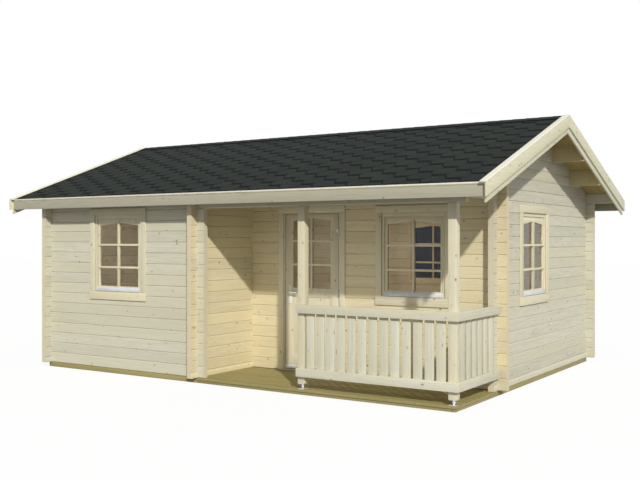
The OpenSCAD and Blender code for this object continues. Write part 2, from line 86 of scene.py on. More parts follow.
def edit_vertices(piece, test):
    """Opens a piece in edit mode with the vertices selected that pass a test of their place."""
    edit_all(piece)
    bpy.ops.mesh.select_all(action="DESELECT")
    bpy.ops.object.mode_set(mode="OBJECT")
    for vertex in piece.data.vertices:
        vertex.select = test(vertex.co)
    bpy.ops.object.mode_set(mode="EDIT")


def edit_faces(piece, test):
    """Opens a piece in edit mode with the faces selected that pass a test of their place and normal."""
    edit_all(piece)
    bpy.ops.mesh.select_all(action="DESELECT")
    bpy.ops.mesh.select_mode(type="FACE")
    bpy.ops.object.mode_set(mode="OBJECT")
    for face in piece.data.polygons:
        face.select = test(face.center, face.normal)
    bpy.ops.object.mode_set(mode="EDIT")


def named(piece, name):
    piece.name = name
    piece.data.name = name
    return piece


def block(name, low, high):
    """A box between two opposite corners."""
    begin()
    low, high = Vector(low), Vector(high)
    bpy.ops.mesh.primitive_cube_add(size=1, location=(low + high) / 2, scale=high - low)
    bpy.ops.object.transform_apply(location=True, rotation=True, scale=True)
    return named(bpy.context.object, name)


def apply_modifier(piece, kind, **settings):
    take(piece)
    modifier = piece.modifiers.new(kind.lower(), kind)
    for key, value in settings.items():
        setattr(modifier, key, value)
    bpy.ops.object.modifier_apply(modifier=modifier.name)
    return piece


def round_edges(piece, width, segments=2):
    return apply_modifier(piece, "BEVEL", width=width, segments=segments, limit_method="ANGLE",
                          angle_limit=EDGE_ANGLE)


def repeat(piece, step, count):
    """Copies a piece along a step."""
    return apply_modifier(piece, "ARRAY", use_relative_offset=False, use_constant_offset=True,
                          constant_offset_displace=step, count=count)


def cut_away(piece, point, normal):
    """Cuts a piece with a plane and keeps what lies behind its normal."""
    edit_all(piece)
    bpy.ops.mesh.bisect(plane_co=point, plane_no=normal, use_fill=True, clear_outer=True)
    begin()
    return piece


def put(piece, place=(0, 0, 0), turn=(0, 0, 0)):
    """Turns and moves a piece, and leaves its place in its mesh."""
    take(piece)
    piece.rotation_euler = turn
    piece.location = place
    bpy.ops.object.transform_apply(location=True, rotation=True, scale=True)
    return piece


def twin(piece, name):
    """A copy with a mesh of its own."""
    take(piece)
    bpy.ops.object.duplicate()
    return named(bpy.context.object, name)


def joined(pieces, name):
    begin()
    for piece in pieces:
        piece.select_set(True)
    bpy.context.view_layer.objects.active = pieces[0]
    if len(pieces) > 1:
        bpy.ops.object.join()
    return named(bpy.context.object, name)


def solids(mesh):
    """The loose solids of a mesh, as lists of vertex numbers."""
    leader = list(range(len(mesh.vertices)))

    def find(i):
        while leader[i] != i:
            leader[i] = leader[leader[i]]
            i = leader[i]
        return i

    for edge in mesh.edges:
        first, second = (find(i) for i in edge.vertices)
        leader[first] = second
    groups = {}
    for i in range(len(leader)):
        groups.setdefault(find(i), []).append(i)
    return list(groups.values())


def grain_along(mesh, group):
    """The axis along which a solid is longest."""
    spots = [mesh.vertices[i].co for i in group]
    sizes = [max(s[axis] for s in spots) - min(s[axis] for s in spots) for axis in range(3)]
    return sizes.index(max(sizes))


def finish_pieces(piece, finish, seed, grain=None):
    """Gives each loose solid a tone of its own and the finish that runs along its grain."""
    mesh = piece.data
    draw = random.Random(seed)
    tone = mesh.attributes.new("tone", "FLOAT_COLOR", "POINT")
    axis_of = {}
    for group in solids(mesh):
        colour = (draw.random(), draw.random(), draw.random(), 1)
        axis = grain_along(mesh, group) if grain is None else AXES.index(grain)
        for i in group:
            tone.data[i].color = colour
            axis_of[i] = axis
    mesh.materials.clear()
    used = sorted(set(axis_of.values()))
    for axis in used:
        mesh.materials.append(finish(AXES[axis]))
    for face in mesh.polygons:
        face.material_index = used.index(axis_of[face.vertices[0]])
    return piece


def coat(piece, *finishes):
    """Gives a piece its finishes, in place of those that it has."""
    piece.data.materials.clear()
    for finish in finishes:
        piece.data.materials.append(finish)
    return piece


def hand_over(piece, body, slot, *nodes):
    """Sets a finished piece on its body, in place of the nodes that it stands for; the slot is not used."""
    take(piece)
    bpy.ops.object.shade_smooth_by_angle(angle=EDGE_ANGLE)
    begin()
    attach(piece, body)
    if nodes:
        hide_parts(*nodes)
    return piece


def planed(node, edge=0.0, segments=2):
    """A copy of a node's mesh, merged, with its sharp edges rounded."""
    take(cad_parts[node])
    bpy.ops.object.duplicate()
    piece = named(bpy.context.object, node + "_planed")
    piece.parent = None
    for key in list(piece.keys()):
        del piece[key]
    edit_all(piece)
    bpy.ops.mesh.remove_doubles(threshold=MERGE_GAP)
    bpy.ops.mesh.dissolve_limited(angle_limit=FLAT_ANGLE)
    begin()
    if edge:
        round_edges(piece, edge, segments)
    return piece


# Finishes

def new_finish(name):
    finish = bpy.data.materials.new(name)
    finish.use_nodes = True
    tree = finish.node_tree
    tree.nodes.clear()
    shader = tree.nodes.new("ShaderNodeBsdfPrincipled")
    output = tree.nodes.new("ShaderNodeOutputMaterial")
    tree.links.new(shader.outputs["BSDF"], output.inputs["Surface"])
    return finish, tree, shader


def add(tree, kind, inputs=None, **settings):
    """A node with its settings, and its inputs set or linked."""
    node = tree.nodes.new("ShaderNode" + kind)
    for key, value in settings.items():
        setattr(node, key, value)
    for key, value in (inputs or {}).items():
        if isinstance(value, bpy.types.NodeSocket):
            tree.links.new(value, node.inputs[key])
        else:
            node.inputs[key].default_value = value
    return node


def math_node(tree, operation, first, second=0.0):
    return add(tree, "Math", {0: first, 1: second}, operation=operation).outputs[0]


def ramp(tree, value, low, high, to_low=0.0, to_high=1.0):
    """A value eased from one range to another."""
    node = add(tree, "MapRange", {"Value": value, "From Min": low, "From Max": high,
                                  "To Min": to_low, "To Max": to_high}, interpolation_type="SMOOTHSTEP")
    return node.outputs["Result"]


def blend(tree, factor, first, second, mode="MIX"):
    """Two colours mixed; a plain colour is given as three numbers."""
    node = tree.nodes.new("ShaderNodeMix")
    node.data_type = "RGBA"
    node.blend_type = mode
    for socket, value in ((node.inputs[0], factor), (node.inputs[6], first), (node.inputs[7], second)):
        if isinstance(value, bpy.types.NodeSocket):
            tree.links.new(value, socket)
        elif isinstance(value, tuple):
            socket.default_value = (*value, 1)
        else:
            socket.default_value = value
    return node.outputs[2]


def grey(tree, level):
    """A colour with the same level in its three channels."""
    return add(tree, "CombineColor", {0: level, 1: level, 2: level}).outputs[0]


def bump(tree, shader, height, strength, distance):
    node = add(tree, "Bump", {"Height": height, "Strength": strength, "Distance": distance})
    tree.links.new(node.outputs["Normal"], shader.inputs["Normal"])


# The middle of a noise's range, where most of its values lie
NOISE_BAND = (0.3, 0.7)

# Spruce: the pale and the dark colour of its year rings, for each kind of piece. The porch kind is painted
# brighter and warmer as painted bounce light, and the soffit and purlin kinds darker and browner as painted
# shade
SPRUCE = {
    "log": ((0.610, 0.595, 0.485), (0.510, 0.485, 0.365)),
    # porch: the log colours painted brighter and warmer, as painted bounce light in the recess
    "porch": ((0.690, 0.618, 0.418), (0.590, 0.502, 0.315)),
    "rail": ((0.645, 0.635, 0.515), (0.550, 0.525, 0.400)),
    "eave": ((0.415, 0.400, 0.310), (0.340, 0.320, 0.235)),
    "verge": ((0.690, 0.675, 0.510), (0.580, 0.545, 0.390)),
    "cap": ((0.820, 0.800, 0.690), (0.720, 0.690, 0.560)),
    # soffit: painted dark brown, as painted shade under the roof
    "soffit_painted_shade": ((0.425, 0.328, 0.131), (0.335, 0.243, 0.089)),
    # purlin: painted darker and browner, as painted shade under the roof
    "purlin": ((0.568, 0.483, 0.278), (0.484, 0.399, 0.216)),
    "joinery": ((0.690, 0.649, 0.486), (0.600, 0.548, 0.385)),
    "door": ((0.680, 0.634, 0.482), (0.600, 0.545, 0.395)),
    "treated": ((0.350, 0.300, 0.128), (0.262, 0.222, 0.090)),
    "floor": ((0.62, 0.49, 0.31), (0.50, 0.37, 0.21)),
}
KNOT = (0.13, 0.080, 0.038)
KNOT_HALO = (0.46, 0.34, 0.19)
END_GRAIN = (0.640, 0.560, 0.385)
END_BAND = (0.8, 0.95)
END_SHARE = 0.7
GRAIN_STRETCH = 0.045
FINE_SCALE = 85
FINE_BAND = (0.42, 0.68)
FINE_SHARE = 0.62
BROAD_SCALE = 14
BROAD_BAND = (0.40, 0.75)
BROAD_SHARE = 0.38
KNOT_STRETCH = 0.62
KNOT_SCALE = 9.6
KNOT_RADII = (0.04, 0.098)
KNOT_SHARE = 0.85
HALO_RADII = (0.06, 0.21)
HALO_SHARE = 0.42
TONE_LEVELS = (0.915, 1.035)
WARM_TINT = (1.0, 0.965, 0.86)
WARM_FROM = 0.2
WARM_SHARE = 0.5
WOOD_ROUGHNESS = (0.52, 0.68)
WOOD_SHINE = 0.3
WOOD_BUMP = (0.18, 0.002)
SHIFT = 23.0
wood_finishes = {}


def wood(kind):
    """The finish of one kind of timber, for each direction of its grain."""

    def along(axis):
        key = kind + "_grain_" + axis.lower()
        if key not in wood_finishes:
            wood_finishes[key] = make_wood(key, kind, AXES.index(axis))
        return wood_finishes[key]

    return along


def make_wood(name, kind, axis):
    finish, tree, shader = new_finish(name)
    pale, dark = SPRUCE[kind]
    coords = add(tree, "TexCoord")
    tone = add(tree, "Attribute", attribute_name="tone").outputs["Color"]
    tones = add(tree, "SeparateColor", {"Color": tone})
    place = add(tree, "VectorMath", {0: tone, 1: (SHIFT, SHIFT, SHIFT), 2: coords.outputs["Object"]},
                operation="MULTIPLY_ADD").outputs[0]
    stretch = [1.0, 1.0, 1.0]
    stretch[axis] = GRAIN_STRETCH
    grain_place = add(tree, "Mapping", {"Vector": place, "Scale": stretch}).outputs[0]
    fine = add(tree, "TexNoise", {"Vector": grain_place, "Scale": FINE_SCALE, "Detail": 4,
                                  "Roughness": 0.6})
    broad = add(tree, "TexNoise", {"Vector": grain_place, "Scale": BROAD_SCALE, "Detail": 2,
                                   "Distortion": 0.6})
    rings = math_node(tree, "MULTIPLY", ramp(tree, fine.outputs[0], *FINE_BAND), FINE_SHARE)
    rings = math_node(tree, "ADD", rings, ramp(tree, broad.outputs[0], *BROAD_BAND, 0.0, BROAD_SHARE))
    colour = blend(tree, rings, pale, dark)
    stretch[axis] = KNOT_STRETCH
    knot_place = add(tree, "Mapping", {"Vector": place, "Scale": stretch}).outputs[0]
    knots = add(tree, "TexVoronoi", {"Vector": knot_place, "Scale": KNOT_SCALE, "Randomness": 1.0})
    distance = knots.outputs["Distance"]
    colour = blend(tree, ramp(tree, distance, *HALO_RADII, HALO_SHARE, 0.0), colour, KNOT_HALO)
    colour = blend(tree, ramp(tree, distance, *KNOT_RADII, KNOT_SHARE, 0.0), colour, KNOT)
    level = ramp(tree, tones.outputs[0], 0.0, 1.0, *TONE_LEVELS)
    colour = blend(tree, 1.0, colour, grey(tree, level), "MULTIPLY")
    warm = ramp(tree, tones.outputs[1], WARM_FROM, 1.0, 0.0, WARM_SHARE)
    colour = blend(tree, warm, colour, tuple(c * f for c, f in zip(pale, WARM_TINT)))
    if kind != "treated":
        normal = add(tree, "SeparateXYZ", {"Vector": coords.outputs["Normal"]}).outputs[axis]
        at_end = ramp(tree, math_node(tree, "ABSOLUTE", normal), *END_BAND)
        colour = blend(tree, math_node(tree, "MULTIPLY", at_end, END_SHARE), colour, END_GRAIN)
    tree.links.new(colour, shader.inputs["Base Color"])
    tree.links.new(ramp(tree, fine.outputs[0], *NOISE_BAND, *WOOD_ROUGHNESS), shader.inputs["Roughness"])
    shader.inputs["Specular IOR Level"].default_value = WOOD_SHINE
    bump(tree, shader, fine.outputs[0], *WOOD_BUMP)
    return finish


# Shingle: the colours of its grit and of the dark band on each tab, printed along the lower edge and
# painted shadow along the left edge
GRIT_DARK = (0.012, 0.015, 0.0135)
GRIT_PALE = (0.029, 0.036, 0.032)
GRIT_SCALE = 420
GRIT_BAND = (0.38, 0.66)
# Near-black colour of the printed band and of the painted shadow on the tabs
BAND_AND_SHADOW_COLOUR = (0.002, 0.0025, 0.0025)
BAND_AND_SHADOW_SHARE = 0.95
SHINGLE_LEVELS = (0.93, 1.06)
PATCH_SCALE = 5
PATCH_LEVELS = (0.9, 1.1)
SHINGLE_ROUGHNESS = (0.78, 0.95)
SHINGLE_SHINE = 0.08
SHINGLE_BUMP = (0.5, 0.003)


def make_shingle():
    """Charcoal shingle with mineral grit, a printed dark band along the lower edge of each tab and painted
    shadow along its left edge.
    """
    finish, tree, shader = new_finish("shingle_grit")
    coords = add(tree, "TexCoord").outputs["Object"]
    tone = add(tree, "Attribute", attribute_name="tone").outputs["Color"]
    tones = add(tree, "SeparateColor", {"Color": tone})
    band_and_shadow = add(tree, "Attribute", attribute_name="band_and_shadow").outputs["Fac"]
    grit = add(tree, "TexNoise", {"Vector": coords, "Scale": GRIT_SCALE, "Detail": 3, "Roughness": 0.7})
    patch = add(tree, "TexNoise", {"Vector": coords, "Scale": PATCH_SCALE, "Detail": 3})
    colour = blend(tree, ramp(tree, grit.outputs[0], *GRIT_BAND), GRIT_DARK, GRIT_PALE)
    level = ramp(tree, tones.outputs[0], 0.0, 1.0, *SHINGLE_LEVELS)
    level = math_node(tree, "MULTIPLY", level, ramp(tree, patch.outputs[0], *NOISE_BAND, *PATCH_LEVELS))
    colour = blend(tree, 1.0, colour, grey(tree, level), "MULTIPLY")
    # Darkens the printed band and the painted shadow on each tab
    colour = blend(tree, math_node(tree, "MULTIPLY", band_and_shadow, BAND_AND_SHADOW_SHARE), colour, BAND_AND_SHADOW_COLOUR)
    tree.links.new(colour, shader.inputs["Base Color"])
    tree.links.new(ramp(tree, grit.outputs[0], *NOISE_BAND, *SHINGLE_ROUGHNESS), shader.inputs["Roughness"])
    shader.inputs["Specular IOR Level"].default_value = SHINGLE_SHINE
    bump(tree, shader, grit.outputs[0], *SHINGLE_BUMP)
    return finish


# Metal, coated sheet and glass
BRUSH_STRETCH = (0.08, 0.08, 1.0)
BRUSH_SCALE = 900
BRUSH_SPREAD = (-0.07, 0.09)
METAL_CLOUD = 30
METAL_BUMP = (0.08, 0.0005)
SHEET_CLOUD = 18
SHEET_ROUGHNESS = (0.4, 0.55)
SHEET_BUMP = (0.05, 0.001)
FILM_SCALE = 6
FILM_BAND = (0.35, 0.7)
DUST_BAND = (0.3, 0.75)
GLASS_ROUGHNESS = (0.0, 0.035)
GLASS_IOR = 1.28


def make_metal(name, pale, dark, roughness):
    """Brushed metal, with fine scratches and a slightly uneven sheen."""
    finish, tree, shader = new_finish(name)
    coords = add(tree, "TexCoord").outputs["Object"]
    drawn = add(tree, "Mapping", {"Vector": coords, "Scale": BRUSH_STRETCH}).outputs[0]
    brushed = add(tree, "TexNoise", {"Vector": drawn, "Scale": BRUSH_SCALE, "Detail": 2})
    cloud = add(tree, "TexNoise", {"Vector": coords, "Scale": METAL_CLOUD, "Detail": 3})
    colour = blend(tree, ramp(tree, cloud.outputs[0], *NOISE_BAND), dark, pale)
    tree.links.new(colour, shader.inputs["Base Color"])
    levels = [roughness + spread for spread in BRUSH_SPREAD]
    tree.links.new(ramp(tree, brushed.outputs[0], *NOISE_BAND, *levels), shader.inputs["Roughness"])
    shader.inputs["Metallic"].default_value = 1.0
    bump(tree, shader, brushed.outputs[0], *METAL_BUMP)
    return finish


def make_sheet(name, pale, dark):
    """Coated sheet metal, faintly mottled."""
    finish, tree, shader = new_finish(name)
    coords = add(tree, "TexCoord").outputs["Object"]
    cloud = add(tree, "TexNoise", {"Vector": coords, "Scale": SHEET_CLOUD, "Detail": 4})
    colour = blend(tree, ramp(tree, cloud.outputs[0], *NOISE_BAND), dark, pale)
    tree.links.new(colour, shader.inputs["Base Color"])
    tree.links.new(ramp(tree, cloud.outputs[0], *NOISE_BAND, *SHEET_ROUGHNESS), shader.inputs["Roughness"])
    bump(tree, shader, cloud.outputs[0], *SHEET_BUMP)
    return finish


def make_glass(name, clear, dusty):
    """Window glass with a faint film of dust."""
    finish, tree, shader = new_finish(name)
    coords = add(tree, "TexCoord").outputs["Object"]
    film = add(tree, "TexNoise", {"Vector": coords, "Scale": FILM_SCALE, "Detail": 4})
    colour = blend(tree, ramp(tree, film.outputs[0], *FILM_BAND), clear, dusty)
    tree.links.new(colour, shader.inputs["Base Color"])
    tree.links.new(ramp(tree, film.outputs[0], *DUST_BAND, *GLASS_ROUGHNESS), shader.inputs["Roughness"])
    shader.inputs["Transmission Weight"].default_value = 1.0
    shader.inputs["IOR"].default_value = GLASS_IOR
    return finish


log_wood = wood("log")
porch_painted_bounce_wood = wood("porch")
rail_wood = wood("rail")
eave_wood = wood("eave")
verge_wood = wood("verge")
cap_wood = wood("cap")
soffit_painted_shade_wood = wood("soffit_painted_shade")
purlin_painted_shade_wood = wood("purlin")
joinery_wood = wood("joinery")
door_wood = wood("door")
treated_wood = wood("treated")
floor_wood = wood("floor")
shingle_grit = make_shingle()
yellow_zinc = make_metal("yellow_zinc", (0.66, 0.61, 0.45), (0.56, 0.51, 0.36), 0.55)
satin = make_sheet("satin_nickel", (0.72, 0.72, 0.71), (0.64, 0.64, 0.63))
steel = make_metal("brushed_steel", (0.76, 0.77, 0.79), (0.64, 0.65, 0.67), 0.32)
grey_sheet = make_sheet("grey_weather_sheet", (0.64, 0.66, 0.69), (0.56, 0.58, 0.61))
zinc = make_metal("zinc_plate", (0.50, 0.47, 0.40), (0.40, 0.37, 0.31), 0.5)
cream_sheet = make_sheet("cream_sheet", (0.74, 0.725, 0.63), (0.68, 0.66, 0.56))
clear_glass = make_glass("window_glass", (0.79, 0.72, 0.63), (0.73, 0.66, 0.57))
# The back window's glass is tinted near-black blue, a painted reflection of the sky
painted_sky_reflection_glass = make_glass("back_window_painted_sky_reflection", (0.006, 0.010, 0.022), (0.008, 0.012, 0.026))


# Log walls, roof timbers, terrace and joinery: node, finish, slot and rounding of the edges
# The partition and recess logs are painted brighter and warmer, as painted bounce light in the recess
LOG_WALLS = (("front_wall_logs", log_wood), ("eave_logs", log_wood), ("partition_logs", porch_painted_bounce_wood),
             ("recess_left_logs", porch_painted_bounce_wood), ("recess_right_logs", porch_painted_bounce_wood),
             ("recess_lintel_logs", porch_painted_bounce_wood), ("right_gable_logs", log_wood),
             ("left_gable_logs", log_wood), ("back_wall_logs", log_wood))
TIMBERS = (
    # The purlins are painted darker and browner, as painted shade under the roof
    ("roof_purlins", purlin_painted_shade_wood, "roof_wood", 0.003),
    ("eave_fascias", eave_wood, "roof_wood", 0.002),
    ("left_verge_boards", verge_wood, "roof_wood", 0.002),
    ("right_verge_boards", verge_wood, "roof_wood", 0.002),
    ("verge_caps", cap_wood, "roof_wood", 0.006),
    ("porch_posts", joinery_wood, "log_wood", 0.005),
    ("front_rails", rail_wood, "rail_wood", 0.005),
    ("side_rails", rail_wood, "rail_wood", 0.005),
    ("front_balusters", rail_wood, "rail_wood", 0.003),
    ("side_balusters", rail_wood, "rail_wood", 0.003),
    ("base_frame", treated_wood, "treated_wood", 0.004),
    ("floor_plates", floor_wood, "floor_wood", 0.0),
    ("door_frame", joinery_wood, "joinery_wood", 0.002),
    ("door_casing", joinery_wood, "joinery_wood", 0.003),
    ("window_casings", joinery_wood, "joinery_wood", 0.003),
)
WINDOWS = ("front", "recess", "gable", "back")
WINDOW_EDGES = (("frame", 0.002), ("sash", 0.004))
TIMBER_SEGMENTS = 3


def dress_timbers():
    for seed, (node, finish) in enumerate(LOG_WALLS):
        piece = finish_pieces(planed(node), finish, seed)
        hand_over(piece, "cabin", "log_wood", node)
    for seed, (node, finish, slot, edge) in enumerate(TIMBERS, len(LOG_WALLS)):
        piece = finish_pieces(planed(node, edge, TIMBER_SEGMENTS), finish, seed)
        hand_over(piece, "cabin", slot, node)
    for seed, window in enumerate(WINDOWS, SEEDS["windows"]):
        for part, edge in WINDOW_EDGES:
            node = window + "_window_" + part
            piece = finish_pieces(planed(node, edge), joinery_wood, seed, "Z")
            hand_over(piece, "cabin", "joinery_wood", node)


# Roof: boards from eave to ridge, hexagonal shingles and folded ridge pieces
SHINGLE_LEAST = 0.0049
TAB_W = 0.430
TAB_H = 0.143
TAB_LAP = 0.04
TAB_FLAT = TAB_W / 3
TAB_T = 0.003
UNDERLAY_T = 0.0015
TAB_TIP = 0.0048
TAB_FALL = 0.0033
# Widths of the printed dark band along a tab's lower edge and of the painted shadow along its left edge,
# where shadow falls with the sun from the right
RIM = 0.052
SIDE_PAINTED_SHADOW = 0.020
PLANK_W = 0.096
PLANK_GROOVE = 0.004
STRIP_T = 0.004
STRIP_H = 0.012
STRIP_EDGE = STRIP_T / 3
RIDGE_W = 0.26
RIDGE_STEP = 0.167
RIDGE_LEN = 0.25
RIDGE_LIFT = 0.006

covering_low, covering_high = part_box("front_shingles")
boards_low, boards_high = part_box("front_roof_boards")
eave_y = covering_low.y
roof_run = -eave_y
roof_rise = covering_high.z - covering_low.z - SHINGLE_LEAST
pitch = math.atan2(roof_rise, roof_run)
slope_len = math.hypot(roof_run, roof_rise)
up_slope = Vector((0, math.cos(pitch), math.sin(pitch)))


def roof_boards():
    """Boards with a groove between them, from the eave to the ridge."""
    low, high = boards_low, boards_high
    count = round((high.x - low.x) / PLANK_W)
    width = (high.x - low.x) / count
    depth = (high.z - low.z - roof_rise) * math.cos(pitch)
    plank = block("front_roof_planks", (0, -width, 0), (width, slope_len + width, depth))
    round_edges(plank, PLANK_GROOVE, 1)
    put(plank, (low.x, eave_y, low.z), (pitch, 0, 0))
    repeat(plank, (width, 0, 0), count)
    cut_away(plank, (0, 0, 0), (0, 1, 0))
    cut_away(plank, (0, eave_y, 0), (0, -1, 0))
    back = put(twin(plank, "back_roof_planks"), turn=(0, 0, math.pi))
    pairs = ((plank, "front_roof_boards"), (back, "back_roof_boards"))
    for seed, (piece, node) in enumerate(pairs, SEEDS["planks"]):
        # The boards are painted dark brown, as painted shade under the roof
        finish_pieces(piece, soffit_painted_shade_wood, seed, "Y")
        hand_over(piece, "cabin", "roof_wood", node)


def shingle_tab():
    """One tab of a shingle strip: a band with a half hexagon hanging from its middle."""
    begin()
    band_h = TAB_H + TAB_LAP
    bpy.ops.mesh.primitive_plane_add(size=1, location=(0, TAB_H + band_h / 2, 0))
    tab = named(bpy.context.object, "front_shingle_tabs")
    tab.scale = (TAB_W, band_h, 1)
    bpy.ops.object.transform_apply(location=True, rotation=True, scale=True)
    for side in (-TAB_FLAT, TAB_FLAT):
        edit_all(tab)
        bpy.ops.mesh.bisect(plane_co=(side, 0, 0), plane_no=(1, 0, 0))
    edit_vertices(tab, lambda v: abs(v.x) < TAB_FLAT + NEAR and v.y < TAB_H + NEAR)
    bpy.ops.mesh.extrude_region_move(TRANSFORM_OT_translate={"value": (0, -TAB_H, 0)})
    bpy.ops.transform.resize(value=(0.5, 1, 1), center_override=(0, 0, 0))
    lean = TAB_FLAT / 2 / TAB_H
    for point, normal in (((0, RIM, 0), (0, 1, 0)), ((SIDE_PAINTED_SHADOW - TAB_FLAT / 2, 0, 0), (1, lean, 0))):
        bpy.ops.mesh.select_all(action="SELECT")
        bpy.ops.mesh.bisect(plane_co=point, plane_no=normal)
    begin()
    # Dark faces: a printed band along the lower edge, and painted shadow along the left edge
    band_and_shadow = tab.data.attributes.new("band_and_shadow", "FLOAT", "FACE")
    for face in tab.data.polygons:
        inward = face.center.x + TAB_FLAT / 2 + lean * face.center.y
        dark = face.center.y < TAB_H and (face.center.y < RIM or inward < SIDE_PAINTED_SHADOW)
        band_and_shadow.data[face.index].value = 1.0 if dark else 0.0
    apply_modifier(tab, "SOLIDIFY", thickness=TAB_T, offset=-1)
    return tab


def shingles():
    """Strips of tabs up each slope, each strip half a tab along from the one below."""
    low, high = covering_low, covering_high
    rows = math.ceil(slope_len / TAB_H)
    columns = math.ceil((high.x - low.x) / TAB_W + rows / 2) + 2
    tilt = math.atan2(TAB_FALL, 2 * TAB_H + TAB_LAP)
    tab = put(shingle_tab(), (0, 0, TAB_TIP), (-tilt, 0, 0))
    put(tab, (low.x - rows * TAB_W / 2, eave_y, low.z), (pitch, 0, 0))
    repeat(tab, up_slope * TAB_H + Vector((TAB_W / 2, 0, 0)), rows)
    repeat(tab, (TAB_W, 0, 0), columns)
    underlay = block("shingle_underlay", (low.x, 0, 0), (high.x, slope_len + TAB_LAP, UNDERLAY_T))
    put(underlay, (0, eave_y, low.z), (pitch, 0, 0))
    joined([tab, underlay], tab.name)
    cut_away(tab, (low.x, 0, 0), (-1, 0, 0))
    cut_away(tab, (high.x, 0, 0), (1, 0, 0))
    cut_away(tab, (0, 0, 0), (0, 1, 0))
    back = put(twin(tab, "back_shingle_tabs"), turn=(0, 0, math.pi))
    pairs = ((tab, "front_shingles"), (back, "back_shingles"))
    for seed, (piece, node) in enumerate(pairs, SEEDS["shingles"]):
        finish_pieces(piece, lambda axis: shingle_grit, seed, "X")
        hand_over(piece, "cabin", "shingle", node)
    eave_strips()
    ridge_shingles()


def eave_strips():
    """Pale drip strips along the lower edges of the roof boards."""
    low, high = boards_low, boards_high
    edge_z = high.z - roof_rise
    strip = block("eave_drip_strips", (low.x, eave_y - STRIP_T, edge_z - STRIP_H),
                  (high.x, eave_y, edge_z + TAB_TIP))
    round_edges(strip, STRIP_EDGE)
    back = put(twin(strip, "eave_drip_strips"), turn=(0, 0, math.pi))
    both = joined([strip, back], "eave_drip_strips")
    hand_over(coat(both, cream_sheet), "cabin", "roof_wood")


def ridge_shingles():
    """Folded pieces laid along the ridge, each over the one before."""
    low, high = covering_low, covering_high
    begin()
    bpy.ops.mesh.primitive_plane_add(size=1)
    fold = named(bpy.context.object, "ridge_shingles")
    fold.scale = (RIDGE_LEN, RIDGE_W * math.cos(pitch), 1)
    bpy.ops.object.transform_apply(location=True, rotation=True, scale=True)
    edit_all(fold)
    bpy.ops.mesh.bisect(plane_co=(0, 0, 0), plane_no=(0, 1, 0))
    edit_vertices(fold, lambda v: abs(v.y) > RIDGE_W / 4)
    bpy.ops.transform.translate(value=(0, 0, -math.sin(pitch) * RIDGE_W / 2))
    begin()
    band_and_shadow = fold.data.attributes.new("band_and_shadow", "FLOAT", "FACE")
    for face in fold.data.polygons:
        band_and_shadow.data[face.index].value = 0.0
    apply_modifier(fold, "SOLIDIFY", thickness=TAB_T, offset=1)
    put(fold, turn=(0, math.atan2(TAB_T, RIDGE_STEP), 0))
    put(fold, (low.x + RIDGE_LEN / 2, 0, high.z + RIDGE_LIFT))
    repeat(fold, (RIDGE_STEP, 0, 0), math.ceil((high.x - low.x) / RIDGE_STEP))
    cut_away(fold, (high.x, 0, 0), (1, 0, 0))
    finish_pieces(fold, lambda axis: shingle_grit, SEEDS["ridge"], "X")
    hand_over(fold, "cabin", "shingle")


# Terrace deck with grooved boards
DECK_GAP = 0.006
DECK_PITCH = 0.122
GROOVES = 9
GROOVE_DEPTH = 0.003
GROOVE_SHARE = 0.36


def deck():
    low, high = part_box("terrace_deck")
    count = round((high.y - low.y) / DECK_PITCH)
    step = (high.y - low.y + DECK_GAP) / count
    width = step - DECK_GAP
    board = block("grooved_deck_boards", low, (high.x, low.y + width, high.z))
    groove_step = width / (GROOVES + 1)
    groove_half = groove_step * GROOVE_SHARE / 2
    middles = [low.y + groove_step * (i + 1) for i in range(GROOVES)]
    for middle in middles:
        for side in (middle - groove_half, middle + groove_half):
            edit_all(board)
            bpy.ops.mesh.bisect(plane_co=(0, side, 0), plane_no=(0, 1, 0))
    edit_faces(board, lambda centre, normal: normal.z > FACING
               and min(abs(centre.y - middle) for middle in middles) < groove_half / 2)
    bpy.ops.mesh.extrude_region_move(TRANSFORM_OT_translate={"value": (0, 0, -GROOVE_DEPTH)})
    begin()
    repeat(board, (0, step, 0), count)
    finish_pieces(board, treated_wood, SEEDS["deck"], "X")
    hand_over(board, "cabin", "treated_wood", "terrace_deck")


# Glazing bars, sills and glass
BAR_W = 0.026
BAR_T = 0.043
BAR_EDGE = 0.003
BAR_PLAY = 0.0003
BAR_LAP = 0.026
BAR_PROUD = 0.010
BAR_STEP = 0.0008
BAR_HEIGHTS = (0.243, 0.531)
DOOR_BAR_HEIGHTS = (0.293, 0.587)
SILL_TOP = 0.014
SILL_H = 0.050
SILL_REACH = 0.012
SILL_EDGE = 0.003
SASH_SET = 0.012
SASH_W = 0.038
SASH_TOP_H = 0.088
ARCH_RISE = 0.028
WINDOW_TURN = {"front": 0.0, "recess": 0.0, "gable": math.pi / 2, "back": math.pi}


def glazing_bars(name, width, low_z, top_z, heights, face_y):
    """Bars between panes, about the middle of the glass, with ends that lap over the sash."""
    front_y = face_y - BAR_PROUD
    lap_y = face_y - BAR_PLAY
    bars = []
    for reach, near_y, far_y in ((BAR_LAP, front_y, lap_y), (-BAR_PLAY, lap_y, front_y + BAR_T)):
        bars.append(block(name, (-BAR_W / 2, near_y + BAR_STEP, low_z - reach),
                          (BAR_W / 2, far_y - BAR_STEP, top_z + reach)))
        for height in heights:
            z = low_z + height
            bars.append(block(name, (-width / 2 - reach, near_y, z - BAR_W / 2),
                              (width / 2 + reach, far_y, z + BAR_W / 2)))
    return joined([round_edges(bar, BAR_EDGE) for bar in bars], name)


